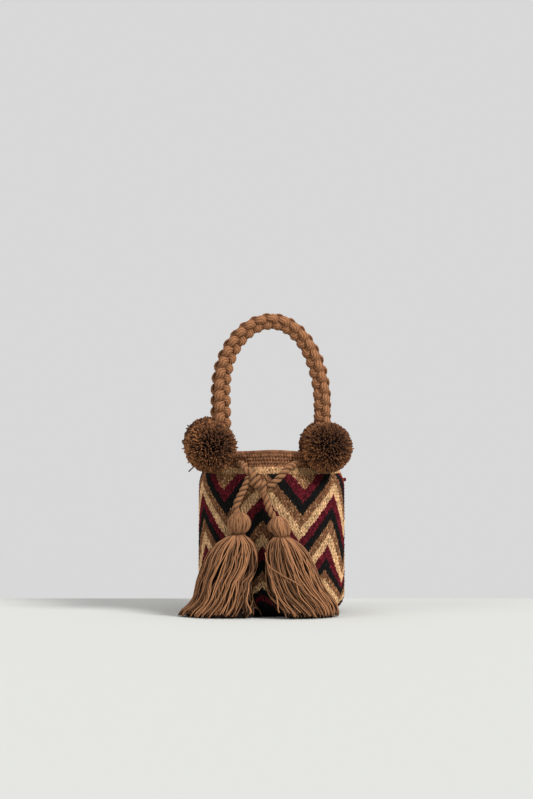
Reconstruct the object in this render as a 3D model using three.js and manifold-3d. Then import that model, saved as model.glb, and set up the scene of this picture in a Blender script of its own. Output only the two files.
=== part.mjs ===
// A small crocheted bucket bag with a braided handle, four pompoms and a drawstring with two tassels.
// Millimetres, +Z up, +X to the right seen from the front, the front towards -Y.
// The origin is the middle of the flat base. Bearings are in degrees from the front, towards +X.
import * as THREE from 'three';
import { mergeVertices } from 'three/addons/utils/BufferGeometryUtils.js';
import Module from 'manifold-3d';

const wasm = await Module();
wasm.setup();

// Driving dimensions of the crocheted body
const bagRadius = 87.5;
const bagHeight = 192.5;
const wall = 3.2;
const baseEdgeRadius = 24;
const rimRadius = 76;
const rimBand = 15.7; // brown rounds at the mouth
const stripeBand = 7.1; // two pale rounds under the rim band
const shoulderHeight = 25; // the wall is drawn in over this height, under the rim band
const shoulderDrawIn = 8.5;
const roundHeight = 3.75; // one round of crochet
const ridgeDepth = 0.9; // groove between two pairs of rounds
const bodyColumns = 36;
const clearance = 0.3; // between pieces that touch

// Zigzag colour bands
const zigzags = 6;
const zigzagRise = 55;
const colourBand = 15;
const firstEdgeDrop = 30.5; // from the rim down to the middle of the edge from burgundy to black
const peakBearing = -7;
const peakSpread = 0.0026; // per mm: in front the peaks stand wider apart the higher they are
const evenHeight = 111; // the height at which they are evenly spaced

// Handle
const braidRadius = 11.5;
const braidTurn = 26.8; // length of one turn of a strand
const strandWidth = 12;
const strandPause = 0.55; // how much a strand slows in its turning where it lies on top
const lobeDepth = 3.6;
const lobeDip = 1.3; // how far a strand sinks on its way under the next
const handleRise = 156.3; // from the rim up to the middle of the braid at the crown
const leftSpringRise = 72.5; // from the rim up to where the left arm starts to bend over
const rightSpringRise = 55.5;
const handleTuckIn = 40; // length of braid inside the rim
const whippingLength = 8;
const whippingThickness = 1.6;
const stitchRadius = 0.9;
const stitchCount = 4;
const stitchSpacing = 4;
const stitchBite = 5; // how far a stitch goes into the braid

// Pompoms, each placed by the bearing of its middle and how far that is above the rim
const pompomPress = 9.5; // how far the wall presses into a pompom
const pompoms = [
  { side: 'front_left', bearing: -47.3, rise: 7.5, radius: 31.5 },
  { side: 'front_right', bearing: 42.7, rise: 7, radius: 30.5 },
  { side: 'back_left', bearing: -128.1, rise: 10, radius: 31 },
  { side: 'back_right', bearing: 139.3, rise: 6.1, radius: 30 },
];
const tuftDepth = 0.045; // share of the radius
const tuftsAcross = 10; // waves of tufts over one radius, along X, Y and Z alike
const tieRadius = 1.2;
const tieKnot = 2.6;
const tieDepth = 5; // below the top of the rim
const tieSag = 3;
const tieBend = 10; // from the rim out to where a tie hangs lowest

// Drawstring
const cordRadius = 3;
const cordSides = 8;
const eyelets = 8;
const eyeletDepth = 12.5; // below the top of the rim
const eyeletTurn = -2.75; // bearing of the middle between the two front eyelets
const frontHalf = 27.25; // from that middle to either front eyelet, in degrees
const weaveSlack = 1.2; // between the cord and the wall where it runs free
const weaveSharpness = 3; // how suddenly the cord goes through an eyelet
const runOverlap = 2.5; // how many degrees the run goes on past the front eyelets
const knotRadius = 3.65; // from the axis of the knot to the middle of either cord
const knotTurns = 1.5;

// A point in front of the bag: to the right, out from the widest part of the wall, and up.
function inFront(right, out, height) {
  return new THREE.Vector3(right, -bagRadius - out, height);
}
const knotStart = inFront(-24.6, 6, bagHeight - 26.4);
const knotEnd = inFront(-7, 6, bagHeight - 42.6);

// Tassels. edges: share of the way down the skirt, then how far it reaches left and right of the neck.
const neckRadius = 8.8;
const neckWrapHeight = 4;
const neckWrapThickness = 1.8;
const skirtFlutes = 7;
const fluteDepth = 0.06;
const skirtWrap = 200; // the skirts bend round the bag: back by the square of the reach over this
const skirtDepth = 17; // half of a skirt's depth at the floor
const skirtSetBack = 6; // how far a skirt leans back from neck to floor
const headRipple = 0.02; // depth of the grooves in a head, as a share of its radius
const tassels = [
  {
    side: 'left', headRadius: 14, head: inFront(-38, 7.5, 110.6),
    neck: inFront(-40.5, 7, 96.5), cordEntry: inFront(-38.5, 7, 117),
    edges: [[0.12, -23, 18], [0.33, -36, 24.5], [0.53, -46, 18], [0.78, -52, 18], [0.92, -66, 24], [1, -70, 27]],
  },
  {
    side: 'right', headRadius: 13.2, head: inFront(8.2, 13.5, 106.8),
    neck: inFront(11.7, 12.5, 94.6), cordEntry: inFront(7, 13, 113),
    edges: [[0.12, -14, 19], [0.27, -19, 34.5], [0.52, -19, 47.5], [0.77, -15, 61], [0.92, -4, 66], [1, -1, 65]],
  },
];

// Yarn colours
const yarn = {
  brown: 0x885f45,
  rim: 0x754f36,
  tan: 0xc89e74,
  burgundy: 0x6a152c,
  black: 0x191918,
  darkBrown: 0x4a2f20,
};

const radians = THREE.MathUtils.degToRad;
const rimBottom = bagHeight - rimBand;
const stripeBottom = rimBottom - stripeBand;
const shoulderBottom = rimBottom - shoulderHeight;
const firstEdge = bagHeight - firstEdgeDrop;
const handleTop = bagHeight + handleRise;
const leftSpring = bagHeight + leftSpringRise;
const rightSpring = bagHeight + rightSpringRise;

// A point at a bearing, a distance from the axis and a height.
function around(bearing, distance, height) {
  const angle = radians(bearing);
  return new THREE.Vector3(distance * Math.sin(angle), -distance * Math.cos(angle), height);
}

// Merges the points of a closed geometry and makes it a solid that can be joined and cut.
function solidOf(geometry) {
  const bare = geometry.clone();
  bare.deleteAttribute('normal');
  bare.deleteAttribute('uv');
  const merged = mergeVertices(bare, 1e-4);
  const corners = merged.index.array;
  const kept = [];
  for (let i = 0; i < corners.length; i += 3) {
    const [a, b, c] = [corners[i], corners[i + 1], corners[i + 2]];
    if (a !== b && b !== c && c !== a) kept.push(a, b, c);
  }
  return new wasm.Manifold(new wasm.Mesh({
    numProp: 3,
    vertProperties: new Float32Array(merged.attributes.position.array),
    triVerts: new Uint32Array(kept),
  }));
}

function geometryOf(solid) {
  const mesh = solid.getMesh();
  const geometry = new THREE.BufferGeometry();
  geometry.setAttribute('position', new THREE.BufferAttribute(mesh.vertProperties, 3));
  geometry.setIndex(new THREE.BufferAttribute(mesh.triVerts, 1));
  geometry.computeVertexNormals();
  return geometry;
}

// A solid of revolution about Z, from points (distance, height).
function turned(points, segments, start = 0) {
  const geometry = new THREE.LatheGeometry(points, segments, start);
  geometry.rotateX(Math.PI / 2);
  return geometry;
}

// A closed tube with a changing section: place(angle, along, out) gives each point,
// where out is 0 in the middle of an end face and 1 on the surface.
function shapedTube(sides, rows, place, start = 0) {
  const tube = new THREE.CylinderGeometry(1, 1, 1, sides, rows, false, start);
  const points = tube.attributes.position;
  for (let i = 0; i < points.count; i += 1) {
    const angle = Math.atan2(points.getX(i), points.getZ(i));
    const out = Math.min(1, Math.hypot(points.getX(i), points.getZ(i)));
    const point = place(angle, points.getY(i) + 0.5, out);
    points.setXYZ(i, point.x, point.y, point.z);
  }
  return tube;
}

// A round cord along a curve, as a polygon carried along it.
function cordAlong(curve, radius, steps, sides = cordSides) {
  const corners = [];
  for (let k = 0; k < sides; k += 1) {
    const angle = (2 * Math.PI * k) / sides;
    corners.push(new THREE.Vector2(radius * Math.cos(angle), radius * Math.sin(angle)));
  }
  return new THREE.ExtrudeGeometry(new THREE.Shape(corners), { steps, extrudePath: curve, bevelEnabled: false });
}

// The crocheted body's outside: its distance from the axis at a height.
function outsideAt(height) {
  if (height < baseEdgeRadius) {
    const drop = baseEdgeRadius - height;
    return bagRadius - baseEdgeRadius + Math.sqrt(baseEdgeRadius ** 2 - drop ** 2);
  }
  if (height <= shoulderBottom) return bagRadius;
  if (height <= rimBottom) {
    const share = (height - shoulderBottom) / shoulderHeight;
    return bagRadius - shoulderDrawIn * share ** 1.75;
  }
  const rimFoot = (bagRadius - shoulderDrawIn + rimRadius) / 2;
  const share = Math.min(1, (height - rimBottom) / (rimBand / 2));
  return THREE.MathUtils.lerp(rimFoot, rimRadius, share);
}

// The outside of the body from the base to the rim. On the wall there is one point for each round of
// crochet, every other one in a groove of the given depth, and grown moves them all outwards.
function outsidePoints(groove, grown) {
  const points = [new THREE.Vector2(bagRadius - baseEdgeRadius, -grown)];
  const edgeRows = 6;
  for (let k = 1; k < edgeRows; k += 1) {
    const angle = ((Math.PI / 2) * k) / edgeRows;
    const reach = baseEdgeRadius + grown;
    points.push(new THREE.Vector2(
      bagRadius - baseEdgeRadius + reach * Math.sin(angle),
      baseEdgeRadius - reach * Math.cos(angle),
    ));
  }
  const wallRounds = Math.round((bagHeight - baseEdgeRadius) / roundHeight);
  const roundStep = (bagHeight - baseEdgeRadius) / wallRounds;
  for (let k = 0; k < wallRounds; k += 1) {
    const height = baseEdgeRadius + k * roundStep;
    points.push(new THREE.Vector2(outsideAt(height) + grown - (k % 2 === 1 ? groove : 0), height));
  }
  return points;
}

// The outline of the body, from the middle of the base up the outside, over the rim and down the inside.
function bodyOutline() {
  const points = [new THREE.Vector2(0, 0), ...outsidePoints(ridgeDepth, 0)];
  points.push(new THREE.Vector2(rimRadius - 0.3 * wall, bagHeight));
  points.push(new THREE.Vector2(rimRadius - 0.7 * wall, bagHeight));
  const shoulderMiddle = (stripeBottom + shoulderBottom) / 2;
  for (const height of [bagHeight - wall / 2, rimBottom, shoulderMiddle, shoulderBottom]) {
    points.push(new THREE.Vector2(outsideAt(height) - wall, height));
  }
  const innerEdge = baseEdgeRadius - wall;
  for (let k = 0; k <= 3; k += 1) {
    const angle = (Math.PI / 2) * (1 - k / 3);
    points.push(new THREE.Vector2(
      bagRadius - baseEdgeRadius + innerEdge * Math.sin(angle),
      baseEdgeRadius - innerEdge * Math.cos(angle),
    ));
  }
  points.push(new THREE.Vector2(0, wall));
  return points;
}

// The plain outer form of the body, a little larger, to cut what leans on it.
function bodyEnvelope() {
  const points = [new THREE.Vector2(0, -clearance), ...outsidePoints(0, clearance)];
  points.push(new THREE.Vector2(rimRadius + clearance, bagHeight + clearance));
  points.push(new THREE.Vector2(0, bagHeight + clearance));
  return solidOf(turned(points, bodyColumns, radians(peakBearing)));
}

// The colour of the crochet at a bearing and a height: zigzag bands of four yarns below the stripe.
// The zigzag follows the bearing from its middle peak, plus a part of that bearing's sine.
function crochetColour(bearing, height) {
  if (height > rimBottom) return yarn.rim;
  if (height > stripeBottom) return yarn.tan;
  const period = 360 / zigzags;
  const spread = peakSpread * (evenHeight - height);
  const past = bearing - peakBearing;
  const turned = past + THREE.MathUtils.radToDeg(spread * Math.sin(radians(past)));
  const phase = THREE.MathUtils.euclideanModulo(turned, period) / period;
  const edge = firstEdge + zigzagRise * (Math.abs(2 * phase - 1) - 0.5);
  if (height > edge + colourBand) return yarn.brown;
  const order = [yarn.black, yarn.brown, yarn.tan, yarn.burgundy];
  const below = THREE.MathUtils.euclideanModulo(edge - height, order.length * colourBand);
  return order[Math.floor(below / colourBand)];
}

function paintCrochet(geometry) {
  const faces = geometry.toNonIndexed();
  faces.computeVertexNormals();
  const points = faces.attributes.position;
  const colours = new Float32Array(points.count * 3);
  const middle = new THREE.Vector3();
  const corner = new THREE.Vector3();
  const colour = new THREE.Color();
  for (let i = 0; i < points.count; i += 3) {
    middle.set(0, 0, 0);
    for (let k = 0; k < 3; k += 1) middle.add(corner.fromBufferAttribute(points, i + k));
    middle.divideScalar(3);
    const bearing = THREE.MathUtils.radToDeg(Math.atan2(middle.x, -middle.y));
    colour.setHex(crochetColour(bearing, middle.z));
    for (let k = 0; k < 3; k += 1) colour.toArray(colours, (i + k) * 3);
  }
  faces.setAttribute('color', new THREE.BufferAttribute(colours, 3));
  return faces;
}

// Handle: two straight arms joined by two quarter ellipses, in the plane y = 0.
const armReach = rimRadius - wall - clearance - braidRadius;
const armBottom = bagHeight - handleTuckIn;
const handlePath = new THREE.CurvePath();
handlePath.add(new THREE.LineCurve(new THREE.Vector2(-armReach, armBottom), new THREE.Vector2(-armReach, leftSpring)));
handlePath.add(new THREE.EllipseCurve(0, leftSpring, armReach, handleTop - leftSpring, Math.PI, Math.PI / 2, true));
handlePath.add(new THREE.EllipseCurve(0, rightSpring, armReach, handleTop - rightSpring, Math.PI / 2, 0, true));
handlePath.add(new THREE.LineCurve(new THREE.Vector2(armReach, rightSpring), new THREE.Vector2(armReach, armBottom)));

// The braid's radius at an angle round it and a distance along it: the highest of its four strands.
// Two strands turn one way and two the other, each slower on top and faster underneath.
function braidSurface(angle, distance) {
  const turn = (2 * Math.PI * distance) / braidTurn;
  const midRadius = (braidRadius * 2) / 3;
  let highest = 0;
  for (const way of [1, -1]) {
    const lift = way * Math.cos(2 * turn);
    const turnedBy = way * turn - (strandPause * Math.sin(2 * turn)) / 2;
    for (const start of [0, Math.PI]) {
      const away = THREE.MathUtils.euclideanModulo(angle - start - turnedBy + Math.PI, 2 * Math.PI) - Math.PI;
      const across = (Math.abs(away) * midRadius) / (strandWidth / 2);
      const crown = braidRadius - lobeDip * (1 - lift);
      const surface = crown - lobeDepth * (1 - Math.sqrt(Math.max(0, 1 - across ** 2)));
      highest = Math.max(highest, surface);
    }
  }
  return highest;
}

function braidGeometry() {
  const length = handlePath.getLength();
  const rows = Math.round((8 * length) / braidTurn);
  const sides = 12;
  return shapedTube(sides, rows, (angle, along, out) => {
    const middle = handlePath.getPointAt(along);
    const ahead = handlePath.getTangentAt(along);
    const reach = out * braidSurface(angle, along * length);
    const outward = reach * Math.cos(angle);
    return new THREE.Vector3(
      middle.x - ahead.y * outward,
      -reach * Math.sin(angle),
      middle.y + ahead.x * outward,
    );
  }, Math.PI / sides);
}

// A ring with rounded corners about Z, moved to a point.
function ringAt(point, inner, thickness, height) {
  const soft = thickness / 3;
  const points = [
    [inner, -height / 2], [inner + thickness - soft, -height / 2], [inner + thickness, soft - height / 2],
    [inner + thickness, height / 2 - soft], [inner + thickness - soft, height / 2], [inner, height / 2],
    [inner, -height / 2],
  ].map(([distance, level]) => new THREE.Vector2(distance, level));
  return turned(points, 16).translate(point.x, point.y, point.z);
}

// The yarn that sews one end of the braid to the rim: a bar outside the wall and stitches through it.
function handleStitches(side, radius) {
  const barReach = rimRadius + clearance + stitchRadius;
  const height = bagHeight - tieDepth;
  const half = ((stitchCount - 1) * stitchSpacing) / 2;
  const rod = (from, to) => solidOf(cordAlong(new THREE.LineCurve3(from, to), radius, 1, 6));
  let stitches = rod(
    new THREE.Vector3(side * barReach, -half - stitchRadius, height),
    new THREE.Vector3(side * barReach, half + stitchRadius, height),
  );
  for (let k = 0; k < stitchCount; k += 1) {
    const across = k * stitchSpacing - half;
    const inner = armReach + Math.sqrt(braidRadius ** 2 - across ** 2) - stitchBite;
    stitches = stitches.add(rod(
      new THREE.Vector3(side * (inner - (radius - stitchRadius)), across, height),
      new THREE.Vector3(side * barReach, across, height),
    ));
  }
  return stitches;
}

// Where the middle of a pompom is: the wall presses into it by a fixed amount.
function pompomMiddle({ bearing, rise, radius }) {
  return around(bearing, rimRadius + radius - pompomPress, bagHeight + rise);
}

// Pompom, with shallow tufts all over.
function pompomGeometry(pompom) {
  const { bearing, radius } = pompom;
  const ball = new THREE.IcosahedronGeometry(radius, 3);
  const wave = tuftsAcross / radius;
  const points = ball.attributes.position;
  const point = new THREE.Vector3();
  for (let i = 0; i < points.count; i += 1) {
    point.fromBufferAttribute(points, i);
    const { x, y, z } = point;
    const tuft = Math.sin(wave * x + bearing) * Math.sin(wave * y) * Math.cos(wave * z);
    point.multiplyScalar(1 - tuftDepth * (1 - tuft));
    points.setXYZ(i, point.x, point.y, point.z);
  }
  const middle = pompomMiddle(pompom);
  return ball.translate(middle.x, middle.y, middle.z);
}

// The tie of a pompom: from a knot in its middle, through the rim, to a knot inside the bag.
function pompomTie(pompom, spare) {
  const inside = rimRadius - wall - clearance - tieKnot;
  const hole = bagHeight - tieDepth;
  const middle = pompomMiddle(pompom);
  const route = new THREE.CatmullRomCurve3([
    middle,
    around(pompom.bearing, rimRadius + tieBend, (middle.z + hole) / 2 - tieSag),
    around(pompom.bearing, rimRadius + tieRadius, hole),
    around(pompom.bearing, inside, hole),
  ]);
  let tie = solidOf(cordAlong(route, tieRadius + spare, 6, 6));
  for (const end of [route.points[0], route.points[3]]) {
    const knot = new THREE.IcosahedronGeometry(tieKnot + spare, 0).translate(end.x, end.y, end.z);
    tie = tie.add(solidOf(knot));
  }
  return tie;
}

// The drawstring weaves in and out of the rim band.
const eyeletHeight = bagHeight - eyeletDepth;
const eyeletWall = outsideAt(eyeletHeight) - wall / 2;
const weave = wall / 2 + clearance + cordRadius + weaveSlack;
const evenRun = 360 * (1 - 1 / eyelets);
const runShare = (360 - 2 * frontHalf) / evenRun; // the two front eyelets stand further apart than the rest

// past: how far along the run, in degrees as if all the eyelets were evenly spaced.
function mouthPoint(past) {
  const swing = Math.tanh(weaveSharpness * Math.sin(radians(past) * (eyelets / 2)));
  const distance = eyeletWall - (weave * swing) / Math.tanh(weaveSharpness);
  return around(eyeletTurn - frontHalf - past * runShare, distance, eyeletHeight);
}

function mouthRoute() {
  const points = [];
  const last = evenRun + runOverlap;
  const count = 90;
  for (let k = 0; k <= count; k += 1) {
    points.push(mouthPoint(THREE.MathUtils.lerp(-runOverlap, last, k / count)));
  }
  return new THREE.CatmullRomCurve3(points);
}

// One cord's stretch in the half knot: it winds round the knot's axis, opposite the other cord.
function knotStretch(startAngle) {
  const axis = knotEnd.clone().sub(knotStart);
  const back = new THREE.Vector3(0, 1, 0);
  const up = new THREE.Vector3().crossVectors(axis, back).normalize();
  const points = [];
  const count = 12;
  for (let k = 0; k <= count; k += 1) {
    const angle = startAngle + (2 * Math.PI * knotTurns * k) / count;
    points.push(knotStart.clone().addScaledVector(axis, k / count)
      .addScaledVector(up, knotRadius * Math.cos(angle))
      .addScaledVector(back, -knotRadius * Math.sin(angle)));
  }
  return points;
}

const mouthCurve = mouthRoute();

// A point straight on from one end of the mouth run: a free end starts there, a clearance away.
function straightOn(share, away) {
  const ahead = mouthCurve.getTangentAt(share).multiplyScalar(share === 0 ? -away : away);
  return mouthCurve.getPointAt(share).add(ahead);
}

const leftEndRoute = new THREE.CatmullRomCurve3([
  straightOn(0, clearance),
  straightOn(0, cordRadius),
  inFront(-32.5, -10, bagHeight - 13.5),
  inFront(-30.5, -1, bagHeight - 19),
  ...knotStretch(0),
  inFront(-6.5, 7.5, bagHeight - 51.5),
  inFront(-4, 9.5, bagHeight - 61.5),
  inFront(1, 11.5, bagHeight - 71),
  tassels[1].cordEntry,
]);

const rightEndRoute = new THREE.CatmullRomCurve3([
  straightOn(1, clearance),
  straightOn(1, cordRadius),
  inFront(23.5, -7, bagHeight - 14),
  inFront(17.5, 0.5, bagHeight - 18.5),
  inFront(9, 5.5, bagHeight - 28),
  inFront(1, 6.5, bagHeight - 35),
  ...knotStretch(Math.PI).reverse(),
  inFront(-31, 6.5, bagHeight - 37.5),
  inFront(-36, 7.5, bagHeight - 47.5),
  inFront(-41, 8, bagHeight - 58.5),
  inFront(-42, 7.5, bagHeight - 68),
  tassels[0].cordEntry,
]);

// A tassel: ball head, neck and fluted skirt of the same threads, standing on the floor.
function tasselGeometry({ head, headRadius, neck, edges }) {
  const rows = [];
  for (const [share, left, right] of [...edges].reverse()) {
    rows.push({
      height: neck.z * (1 - share),
      middle: neck.x + (left + right) / 2,
      half: (right - left) / 2,
      depth: THREE.MathUtils.lerp(neckRadius, skirtDepth, Math.sqrt(share)),
      back: neck.y + skirtSetBack * share,
      flute: fluteDepth,
    });
  }
  const neckHalf = neckWrapHeight / 2 + clearance;
  for (const height of [neck.z - neckHalf, neck.z + neckHalf]) {
    rows.push({ height, middle: neck.x, half: neckRadius, depth: neckRadius, back: neck.y, flute: 0 });
  }
  const neckAngle = Math.acos((head.z - neck.z - neckHalf - 2 * clearance) / headRadius);
  const crownAngle = Math.PI - Math.asin(cordRadius / headRadius);
  const headRows = 6;
  for (let k = 0; k <= headRows; k += 1) {
    const angle = THREE.MathUtils.lerp(neckAngle, crownAngle, k / headRows);
    const reach = headRadius * Math.sin(angle);
    rows.push({
      height: head.z - headRadius * Math.cos(angle),
      middle: head.x + (neck.x - head.x) * Math.max(0, Math.cos(angle)),
      half: reach,
      depth: reach,
      back: head.y,
      flute: headRipple,
    });
  }
  return shapedTube(3 * skirtFlutes, rows.length - 1, (angle, along, out) => {
    const row = rows[Math.round(along * (rows.length - 1))];
    const fluted = out * (1 - row.flute * (1 - Math.cos(skirtFlutes * angle)));
    const x = row.middle + row.half * fluted * Math.cos(angle);
    const wrapped = row.height < neck.z - neckHalf ? (x - neck.x) ** 2 / skirtWrap : 0;
    return new THREE.Vector3(x, row.back + row.depth * fluted * Math.sin(angle) + wrapped, row.height);
  });
}

function yarnMaterial(colour, options = {}) {
  return new THREE.MeshStandardMaterial({ color: colour, roughness: 0.92, metalness: 0, ...options });
}

const bag = new THREE.Group();

function addPiece(name, geometry, material) {
  const mesh = new THREE.Mesh(geometry, material);
  mesh.name = name;
  bag.add(mesh);
}

const envelope = bodyEnvelope();
const mouthSteps = 64;
const leftSteps = 40;
const rightSteps = 44;
// The room that each free end needs, in the rim and in the tassel it enters, left tassel first.
const entering = [
  solidOf(cordAlong(rightEndRoute, cordRadius + clearance, rightSteps)),
  solidOf(cordAlong(leftEndRoute, cordRadius + clearance, leftSteps)),
];
let body = solidOf(turned(bodyOutline(), bodyColumns, radians(peakBearing)));
body = body.subtract(solidOf(cordAlong(mouthCurve, cordRadius + clearance, mouthSteps)));
for (const room of entering) body = body.subtract(room);
let braid = solidOf(braidGeometry());

for (const [name, side] of [['left', -1], ['right', 1]]) {
  const holes = handleStitches(side, stitchRadius + clearance);
  body = body.subtract(holes);
  braid = braid.subtract(holes);
  addPiece(`handle_stitches_${name}`, geometryOf(handleStitches(side, stitchRadius)), yarnMaterial(yarn.darkBrown));
  const whippingAt = new THREE.Vector3(side * armReach, 0, armBottom + whippingLength);
  const whipping = ringAt(whippingAt, braidRadius + clearance, whippingThickness, whippingLength);
  addPiece(`handle_whipping_${name}`, geometryOf(solidOf(whipping)), yarnMaterial(yarn.darkBrown));
}

for (const pompom of pompoms) {
  const hole = pompomTie(pompom, clearance);
  body = body.subtract(hole);
  const ball = solidOf(pompomGeometry(pompom)).subtract(envelope).subtract(hole);
  addPiece(`pompom_${pompom.side}`, geometryOf(ball), yarnMaterial(yarn.darkBrown));
  addPiece(`pompom_tie_${pompom.side}`, geometryOf(pompomTie(pompom, 0)), yarnMaterial(yarn.darkBrown));
}

addPiece('crocheted_body', paintCrochet(geometryOf(body)), yarnMaterial(0xffffff, { vertexColors: true }));
addPiece('handle_braid', geometryOf(braid), yarnMaterial(yarn.brown));

addPiece('drawstring_mouth_run', cordAlong(mouthCurve, cordRadius, mouthSteps), yarnMaterial(yarn.brown));
addPiece('drawstring_left_end', cordAlong(leftEndRoute, cordRadius, leftSteps), yarnMaterial(yarn.brown));
addPiece('drawstring_right_end', cordAlong(rightEndRoute, cordRadius, rightSteps), yarnMaterial(yarn.brown));

tassels.forEach((tassel, k) => {
  const bundle = solidOf(tasselGeometry(tassel)).subtract(entering[k]).subtract(envelope);
  addPiece(`tassel_${tassel.side}`, geometryOf(bundle), yarnMaterial(yarn.brown));
  const wrap = ringAt(tassel.neck, neckRadius + clearance, neckWrapThickness, neckWrapHeight);
  addPiece(`tassel_neck_wrap_${tassel.side}`, geometryOf(solidOf(wrap)), yarnMaterial(yarn.brown));
});

export default bag;
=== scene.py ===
import math
import bpy
import numpy as np
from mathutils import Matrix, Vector


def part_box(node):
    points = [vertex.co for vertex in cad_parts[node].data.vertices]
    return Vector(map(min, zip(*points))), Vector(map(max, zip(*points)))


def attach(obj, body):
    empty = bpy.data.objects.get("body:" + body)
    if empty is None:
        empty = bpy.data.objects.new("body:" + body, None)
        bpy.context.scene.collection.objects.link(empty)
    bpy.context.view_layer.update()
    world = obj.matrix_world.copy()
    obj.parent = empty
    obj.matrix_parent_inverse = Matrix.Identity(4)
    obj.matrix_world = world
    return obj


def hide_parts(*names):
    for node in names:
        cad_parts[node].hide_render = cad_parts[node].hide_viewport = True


# A small crocheted bucket bag. Sizes are in millimetres until a mesh is made, and bearings are in
# degrees from the front (-Y) towards +X.
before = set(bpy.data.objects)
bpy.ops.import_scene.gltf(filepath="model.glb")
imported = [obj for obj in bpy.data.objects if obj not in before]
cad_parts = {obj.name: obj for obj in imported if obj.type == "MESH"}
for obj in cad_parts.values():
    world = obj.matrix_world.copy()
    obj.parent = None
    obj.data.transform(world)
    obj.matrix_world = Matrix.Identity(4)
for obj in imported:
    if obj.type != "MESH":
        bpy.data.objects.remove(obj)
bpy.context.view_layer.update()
bodyLow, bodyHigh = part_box("crocheted_body")
bagRadius = 1000 * (bodyHigh.x - bodyLow.x) / 2
bagHeight = 1000 * bodyHigh.z
bagShape = {
    "baseEdge": 24.0, "wall": 3.2, "rimRadius": 76.0, "rimBand": 15.7, "stripeBand": 7.1,
    "shoulder": 25.0, "drawIn": 8.5, "shoulderPower": 1.75,
    "outOfRound": ((0.7, 2, 0.6), (0.5, 3, 2.0)),  # size, waves round the bag, start
    "sag": {"pull": 2.6, "lean": 1.6, "width": 0.42, "wave": 0.6, "power": 8},
}
rimBottom = bagHeight - bagShape["rimBand"]
stripeBottom = rimBottom - bagShape["stripeBand"]
clearance = 0.3
finePoints = 400  # on a line that is only read from
spanPoints = 12  # on each span of a smooth line


def linear(hexText):
    # sRGB hex to the linear colour that shaders take
    share = np.array([int(hexText[i:i + 2], 16) for i in (1, 3, 5)]) / 255
    return np.where(share <= 0.04045, share / 12.92, ((share + 0.055) / 1.055) ** 2.4)


def shade(hexText):
    return (*linear(hexText), 1.0)


def addNode(tree, kind, settings=None, inputs=None):
    node = tree.nodes.new(kind)
    for key, value in (settings or {}).items():
        setattr(node, key, value)
    for key, value in (inputs or {}).items():
        if isinstance(value, bpy.types.NodeSocket):
            tree.links.new(value, node.inputs[key])
        else:
            node.inputs[key].default_value = value
    return node


def newMaterial(name):
    material = bpy.data.materials.new(name)
    material.use_nodes = True
    material.node_tree.nodes.clear()
    return material, material.node_tree


def unit(vectors):
    return vectors / np.maximum(np.linalg.norm(vectors, axis=-1, keepdims=True), 1e-9)


def around(bearing, distance, height):
    # A point at a bearing, a distance from the axis and a height
    angle = np.radians(bearing)
    parts = np.broadcast_arrays(distance * np.sin(angle), -distance * np.cos(angle), height)
    return np.stack(parts, axis=-1)


def newPiece(name, shape, material, replaces=()):
    # Makes a mesh from whole arrays: points, face sets of one corner count each, and its attributes
    faceSets = [faces for faces in shape["faces"] if len(faces)]
    sizes = np.concatenate([np.full(len(faces), faces.shape[1]) for faces in faceSets])
    corners = np.concatenate([faces.ravel() for faces in faceSets]).astype(np.int32)
    mesh = bpy.data.meshes.new(name)
    mesh.vertices.add(len(shape["points"]))
    mesh.vertices.foreach_set("co", (shape["points"] / 1000).astype(np.float32).ravel())
    mesh.loops.add(len(corners))
    mesh.loops.foreach_set("vertex_index", corners)
    mesh.polygons.add(len(sizes))
    mesh.polygons.foreach_set("loop_start", np.concatenate([[0], np.cumsum(sizes)[:-1]]).astype(np.int32))
    mesh.polygons.foreach_set("use_smooth", np.ones(len(sizes), bool))
    mesh.update(calc_edges=True)
    for key, values in shape.get("pointValues", {}).items():
        layer = mesh.attributes.new(key, "FLOAT", "POINT")
        layer.data.foreach_set("value", np.asarray(values, np.float32))
    if "cornerColours" in shape:
        layer = mesh.attributes.new("yarnColour", "FLOAT_COLOR", "CORNER")
        layer.data.foreach_set("color", shape["cornerColours"].astype(np.float32).ravel())
    mesh.materials.append(material)
    piece = bpy.data.objects.new(name, mesh)
    bpy.context.scene.collection.objects.link(piece)
    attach(piece, "root")
    if replaces:
        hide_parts(*replaces)
    triangles = int((sizes - 2).sum())
    print(f"{name}: {triangles} triangles")
    return piece


def joined(shapes):
    # Several shapes as one, with their face numbers moved on
    offsets = np.cumsum([0] + [len(shape["points"]) for shape in shapes[:-1]])
    values = {}
    for key in shapes[0]["pointValues"]:
        values[key] = np.concatenate([shape["pointValues"][key] for shape in shapes])
    return {
        "points": np.concatenate([shape["points"] for shape in shapes]),
        "faces": [faces + offset for shape, offset in zip(shapes, offsets) for faces in shape["faces"]],
        "pointValues": values,
    }


def carriedFrame(paths):
    # For each path: its direction, and two directions square to it that turn as little as they can
    ahead = unit(np.gradient(paths, axis=1))
    side = np.empty_like(paths)
    side[:, 0] = unit(np.cross(ahead[:, 0], [0.31, 0.17, 0.93]))
    for k in range(1, paths.shape[1]):
        last = side[:, k - 1]
        side[:, k] = unit(last - ahead[:, k] * (last * ahead[:, k]).sum(-1, keepdims=True))
    return ahead, side, np.cross(ahead, side)


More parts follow.
